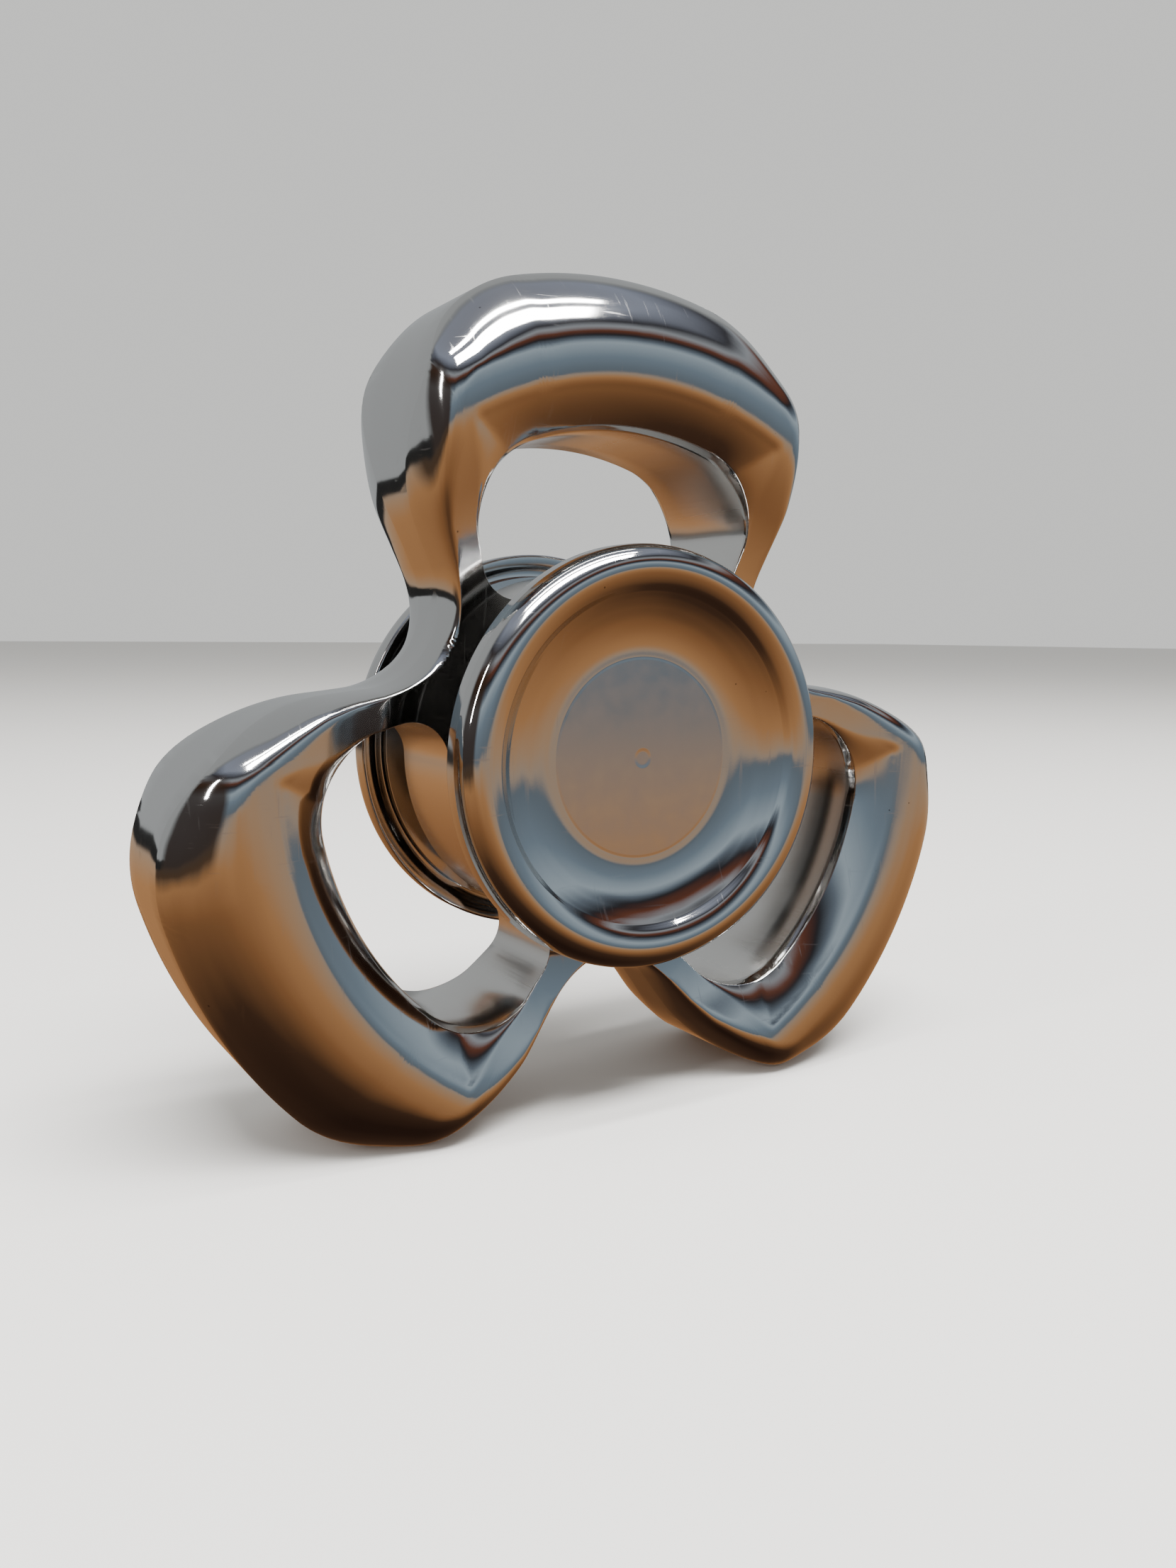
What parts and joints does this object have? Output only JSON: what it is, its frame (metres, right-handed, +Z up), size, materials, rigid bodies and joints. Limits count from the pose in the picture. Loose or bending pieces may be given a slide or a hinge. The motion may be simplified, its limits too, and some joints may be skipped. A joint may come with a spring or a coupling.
{
  "type": "tri-lobe fidget spinner",
  "caption": "Polished metal fidget spinner: a rotor with windowed lobes turns on a small ball bearing between two dished finger buttons.",
  "frame": {"origin": "centre of the bearing, on the spin axis, midway between the two finger buttons", "axes": "+Y along the spin axis to the rear button, +X right and +Z up, with one lobe straight up and the spinner standing on the other two"},
  "size_m": [0.0524, 0.0166, 0.0481],
  "materials": {
    "polished_rotor": "mirror-polished stainless steel, milled marks left inside the windows",
    "polished_button": "mirror-polished stainless steel, fine turned finish on the finger pad",
    "bearing_steel": "ground bearing steel",
    "ball_steel": "lapped bearing steel",
    "cage_steel": "stamped stainless steel",
    "shield_steel": "stamped and tumbled stainless steel",
    "spring_steel": "bright drawn spring steel",
    "stud_steel": "turned steel"
  },
  "bodies": {
    "rotor": {"rotor_frame": "polished_rotor", "bearing_outer_race": "bearing_steel", "bearing_retaining_ring": "spring_steel", "front_shield": "shield_steel", "rear_shield": "shield_steel", "front_shield_clip": "spring_steel", "rear_shield_clip": "spring_steel"},
    "cage": {"ball_cage": "cage_steel", "ball_01": "ball_steel", "ball_02": "ball_steel", "ball_03": "ball_steel", "ball_04": "ball_steel", "ball_05": "ball_steel", "ball_06": "ball_steel", "ball_07": "ball_steel", "ball_08": "ball_steel", "ball_09": "ball_steel", "ball_10": "ball_steel"},
    "buttons": {"bearing_inner_race": "bearing_steel", "front_button": "polished_button", "rear_button": "polished_button", "front_shim": "shield_steel", "rear_shim": "shield_steel", "button_stud": "stud_steel"}
  },
  "joints": [
    {"name": "button_spin", "type": "hinge", "parent": "rotor", "child": "buttons", "pos_m": [0, 0, 0], "axis": [0, 1, 0], "continuous": true},
    {"name": "cage_spin", "type": "hinge", "parent": "rotor", "child": "cage", "pos_m": [0, 0, 0], "axis": [0, 1, 0], "continuous": true}
  ],
  "couplings": [
    {"joint": "cage_spin", "follows": "button_spin", "ratio": 0.41667}
  ]
}
